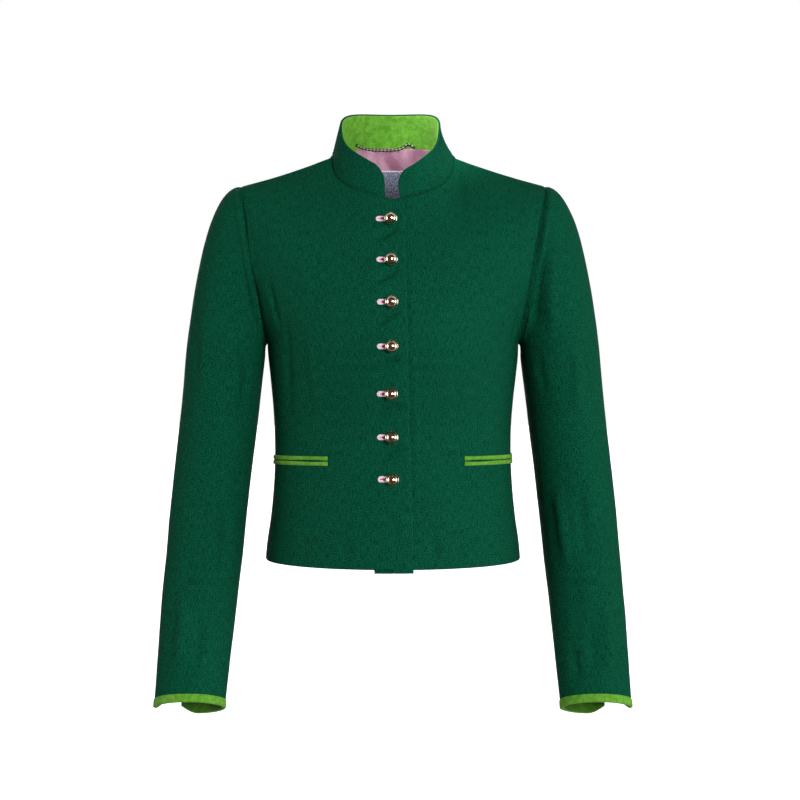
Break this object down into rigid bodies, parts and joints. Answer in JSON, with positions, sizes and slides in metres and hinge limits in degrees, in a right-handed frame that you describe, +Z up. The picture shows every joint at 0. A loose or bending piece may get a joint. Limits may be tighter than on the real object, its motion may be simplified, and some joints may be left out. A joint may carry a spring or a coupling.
{
  "type": "jacket",
  "caption": "Short fitted folk jacket with a stand collar, ball buttons, welt pockets and edged cuffs, filled out as worn.",
  "frame": {"origin": "middle of the neck's base, level with the points where the shoulder seams meet the collar", "axes": "+X towards the wearer's left sleeve, +Y towards the back, +Z up through the neck"},
  "size_m": [0.5524, 0.2474, 0.7104],
  "materials": {
    "green_linen": "matt woven linen, dark green",
    "lime_felt": "matt felted wool, lime green",
    "pink_lining": "smooth lining cloth, pink",
    "woven_label": "woven ribbon, grey-blue, bare",
    "button_metal": "polished, darkened in the recesses",
    "chain_metal": "dark polished steel"
  },
  "bodies": {
    "root": {"front_right": "green_linen", "front_left": "green_linen", "back_right": "green_linen", "back_left": "green_linen", "sleeve_top_right": "green_linen", "sleeve_top_left": "green_linen", "sleeve_under_right": "green_linen", "sleeve_under_left": "green_linen", "collar": "green_linen", "collar_facing": "lime_felt", "cuff_trim_right": "lime_felt", "cuff_trim_left": "lime_felt", "pocket_welt_upper_right": "lime_felt", "pocket_welt_lower_right": "lime_felt", "pocket_welt_upper_left": "lime_felt", "pocket_welt_lower_left": "lime_felt", "lining_back": "pink_lining", "neck_label": "woven_label", "hanger_chain": "chain_metal", "button_1": "button_metal", "button_2": "button_metal", "button_3": "button_metal", "button_4": "button_metal", "button_5": "button_metal", "button_6": "button_metal", "button_7": "button_metal"}
  },
  "joints": []
}
